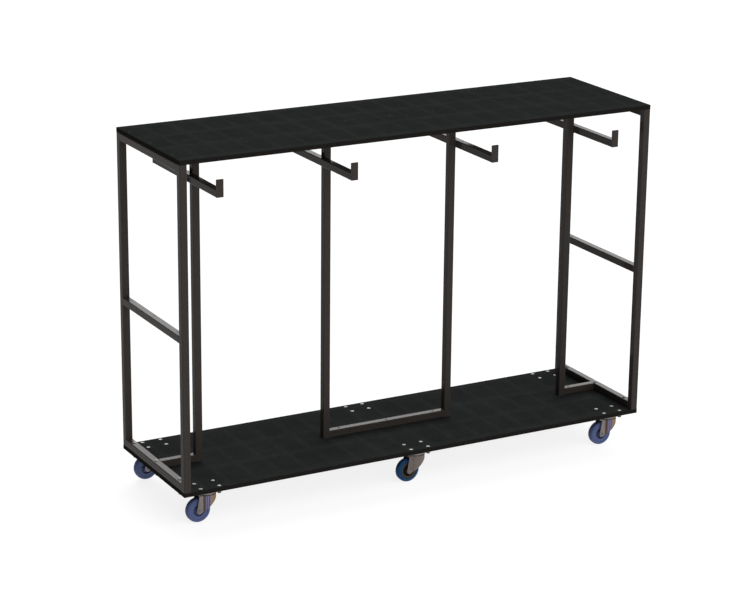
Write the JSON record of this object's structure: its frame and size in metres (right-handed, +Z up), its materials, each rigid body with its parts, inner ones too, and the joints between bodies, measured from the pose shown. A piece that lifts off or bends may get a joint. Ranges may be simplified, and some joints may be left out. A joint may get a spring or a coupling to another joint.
{
  "type": "wheeled rack cart",
  "caption": "Long hotel rack cart: black board deck on swivel castors, dark square-tube frame, board top and cross arms with upturned ends for hanging bags and garments.",
  "frame": {"origin": "on the floor under the middle of the deck", "axes": "+X along the length, away from the trailing side of the castors at rest; +Y to the rear long side; +Z up"},
  "size_m": [2.1, 0.6, 1.464],
  "materials": {
    "black_plywood": "black phenolic film with a fine mesh grip, sealed edges",
    "dark_paint": "satin dark bronze-black powder coat",
    "castor_zinc": "bright zinc plate on pressed steel",
    "axle_steel": "plain bright steel",
    "bright_zinc": "zinc plate",
    "painted_bolt": "painted over with the frame",
    "black_screw": "black phosphate",
    "light_blue_tyre": "non-marking elastic rubber, satin",
    "blue_rim": "moulded nylon, satin",
    "dark_blue_tyre": "elastic rubber, semi-gloss",
    "dark_rim": "moulded nylon, satin"
  },
  "bodies": {
    "chassis": {"arm_stop_plates": "dark_paint", "castor_bearing_balls": "axle_steel", "castor_bolts": "bright_zinc", "castor_kingpins": "axle_steel", "castor_nuts": "bright_zinc", "castor_plates": "castor_zinc", "deck_board": "black_plywood", "left_bay_bottom_rail": "dark_paint", "left_bay_post": "dark_paint", "left_bay_top_rail": "dark_paint", "left_end_bottom_rail": "dark_paint", "left_end_front_post": "dark_paint", "left_end_middle_rail": "dark_paint", "left_end_rear_post": "dark_paint", "left_end_top_rail": "dark_paint", "left_inner_arm": "dark_paint", "left_outer_arm": "dark_paint", "portal_bottom_rail": "dark_paint", "portal_left_post": "dark_paint", "portal_right_post": "dark_paint", "portal_top_rail": "dark_paint", "rail_bolts": "painted_bolt", "rail_nuts": "bright_zinc", "recessed_rail_screws": "black_screw", "right_bay_bottom_rail": "dark_paint", "right_bay_post": "dark_paint", "right_bay_top_rail": "dark_paint", "right_end_bottom_rail": "dark_paint", "right_end_front_post": "dark_paint", "right_end_middle_rail": "dark_paint", "right_end_rear_post": "dark_paint", "right_end_top_rail": "dark_paint", "right_inner_arm": "dark_paint", "right_outer_arm": "dark_paint", "top_board": "black_plywood", "top_board_screws": "black_screw"},
    "front_left_swivel": {"front_left_fork": "castor_zinc", "front_left_axle": "axle_steel"},
    "front_left_wheel": {"front_left_rim": "blue_rim", "front_left_tyre": "light_blue_tyre"},
    "front_middle_swivel": {"front_middle_fork": "castor_zinc", "front_middle_axle": "axle_steel"},
    "front_middle_wheel": {"front_middle_rim": "dark_rim", "front_middle_tyre": "dark_blue_tyre"},
    "front_right_swivel": {"front_right_fork": "castor_zinc", "front_right_axle": "axle_steel"},
    "front_right_wheel": {"front_right_rim": "blue_rim", "front_right_tyre": "light_blue_tyre"},
    "rear_left_swivel": {"rear_left_fork": "castor_zinc", "rear_left_axle": "axle_steel"},
    "rear_left_wheel": {"rear_left_rim": "blue_rim", "rear_left_tyre": "light_blue_tyre"},
    "rear_middle_swivel": {"rear_middle_fork": "castor_zinc", "rear_middle_axle": "axle_steel"},
    "rear_middle_wheel": {"rear_middle_rim": "dark_rim", "rear_middle_tyre": "dark_blue_tyre"},
    "rear_right_swivel": {"rear_right_fork": "castor_zinc", "rear_right_axle": "axle_steel"},
    "rear_right_wheel": {"rear_right_rim": "blue_rim", "rear_right_tyre": "light_blue_tyre"}
  },
  "joints": [
    {"name": "front_left_swivel_turn", "type": "hinge", "parent": "chassis", "child": "front_left_swivel", "pos_m": [-0.9335, -0.253, 0.114], "axis": [0, 0, 1], "continuous": true},
    {"name": "front_left_wheel_roll", "type": "hinge", "parent": "front_left_swivel", "child": "front_left_wheel", "pos_m": [-0.9735, -0.253, 0.05], "axis": [0, 1, 0], "continuous": true},
    {"name": "front_middle_swivel_turn", "type": "hinge", "parent": "chassis", "child": "front_middle_swivel", "pos_m": [0, -0.253, 0.114], "axis": [0, 0, 1], "continuous": true},
    {"name": "front_middle_wheel_roll", "type": "hinge", "parent": "front_middle_swivel", "child": "front_middle_wheel", "pos_m": [-0.04, -0.253, 0.05], "axis": [0, 1, 0], "continuous": true},
    {"name": "front_right_swivel_turn", "type": "hinge", "parent": "chassis", "child": "front_right_swivel", "pos_m": [0.9335, -0.253, 0.114], "axis": [0, 0, 1], "continuous": true},
    {"name": "front_right_wheel_roll", "type": "hinge", "parent": "front_right_swivel", "child": "front_right_wheel", "pos_m": [0.8935, -0.253, 0.05], "axis": [0, 1, 0], "continuous": true},
    {"name": "rear_left_swivel_turn", "type": "hinge", "parent": "chassis", "child": "rear_left_swivel", "pos_m": [-0.9335, 0.253, 0.114], "axis": [0, 0, 1], "continuous": true},
    {"name": "rear_left_wheel_roll", "type": "hinge", "parent": "rear_left_swivel", "child": "rear_left_wheel", "pos_m": [-0.9735, 0.253, 0.05], "axis": [0, 1, 0], "continuous": true},
    {"name": "rear_middle_swivel_turn", "type": "hinge", "parent": "chassis", "child": "rear_middle_swivel", "pos_m": [0, 0.253, 0.114], "axis": [0, 0, 1], "continuous": true},
    {"name": "rear_middle_wheel_roll", "type": "hinge", "parent": "rear_middle_swivel", "child": "rear_middle_wheel", "pos_m": [-0.04, 0.253, 0.05], "axis": [0, 1, 0], "continuous": true},
    {"name": "rear_right_swivel_turn", "type": "hinge", "parent": "chassis", "child": "rear_right_swivel", "pos_m": [0.9335, 0.253, 0.114], "axis": [0, 0, 1], "continuous": true},
    {"name": "rear_right_wheel_roll", "type": "hinge", "parent": "rear_right_swivel", "child": "rear_right_wheel", "pos_m": [0.8935, 0.253, 0.05], "axis": [0, 1, 0], "continuous": true}
  ]
}
